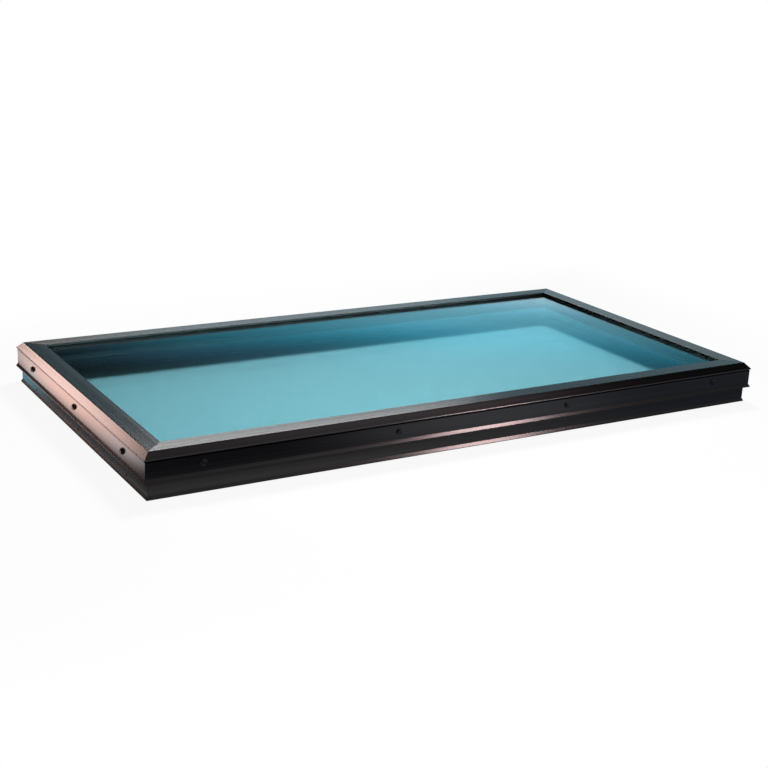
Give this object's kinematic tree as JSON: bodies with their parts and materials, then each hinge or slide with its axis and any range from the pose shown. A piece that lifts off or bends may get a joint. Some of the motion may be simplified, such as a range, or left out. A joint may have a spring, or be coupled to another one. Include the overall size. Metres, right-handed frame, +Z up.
{
  "type": "roof skylight",
  "caption": "Fixed flat roof skylight for a timber curb: teal insulating glass held in a mitred bronze aluminium base frame by a screwed-on retaining cap.",
  "frame": {"origin": "middle of the plan, at the height of the base frame's bottom lip", "axes": "+X along the long sides, +Y across to the back, +Z up out of the roof"},
  "size_m": [1.2932, 0.6836, 0.0805],
  "materials": {
    "bronze_anodised": "dark bronze anodised, with fine lines along the extrusion",
    "mill_aluminium": "plain mill finish",
    "foam_seal": "closed-cell foam",
    "gasket_rubber": "matt black",
    "tinted_glass": "clear, teal tint",
    "clear_glass": "clear",
    "spacer_aluminium": "dark bronze, satin",
    "key_plastic": "moulded",
    "desiccant_beads": "fine beads",
    "butyl": "soft, tacky",
    "edge_sealant": "tooled bead",
    "block_rubber": "dense rubber",
    "washer_rubber": "matt black",
    "black_steel": "black oxide"
  },
  "bodies": {
    "root": {"base_corner_key_back_left": "mill_aluminium", "base_corner_key_back_right": "mill_aluminium", "base_corner_key_front_left": "mill_aluminium", "base_corner_key_front_right": "mill_aluminium", "base_rail_back": "bronze_anodised", "base_rail_front": "bronze_anodised", "base_rail_left": "bronze_anodised", "base_rail_right": "bronze_anodised", "bed_gasket_back": "gasket_rubber", "bed_gasket_front": "gasket_rubber", "bed_gasket_left": "gasket_rubber", "bed_gasket_right": "gasket_rubber", "cap_corner_plate_back_left": "mill_aluminium", "cap_corner_plate_back_right": "mill_aluminium", "cap_corner_plate_front_left": "mill_aluminium", "cap_corner_plate_front_right": "mill_aluminium", "cap_gasket_back": "gasket_rubber", "cap_gasket_front": "gasket_rubber", "cap_gasket_left": "gasket_rubber", "cap_gasket_right": "gasket_rubber", "cap_rail_back": "bronze_anodised", "cap_rail_front": "bronze_anodised", "cap_rail_left": "bronze_anodised", "cap_rail_right": "bronze_anodised", "cap_screws": "black_steel", "curb_seal_back": "foam_seal", "curb_seal_front": "foam_seal", "curb_seal_left": "foam_seal", "curb_seal_right": "foam_seal", "desiccant": "desiccant_beads", "edge_sealant": "edge_sealant", "inner_butyl_seal": "butyl", "inner_pane": "clear_glass", "outer_butyl_seal": "butyl", "outer_pane": "tinted_glass", "sealing_washers": "washer_rubber", "setting_block_back_1": "block_rubber", "setting_block_back_2": "block_rubber", "setting_block_front_1": "block_rubber", "setting_block_front_2": "block_rubber", "setting_block_left_1": "block_rubber", "setting_block_left_2": "block_rubber", "setting_block_right_1": "block_rubber", "setting_block_right_2": "block_rubber", "spacer_bar_back": "spacer_aluminium", "spacer_bar_front": "spacer_aluminium", "spacer_bar_left": "spacer_aluminium", "spacer_bar_right": "spacer_aluminium", "spacer_corner_key_back_left": "key_plastic", "spacer_corner_key_back_right": "key_plastic", "spacer_corner_key_front_left": "key_plastic", "spacer_corner_key_front_right": "key_plastic"}
  },
  "joints": []
}
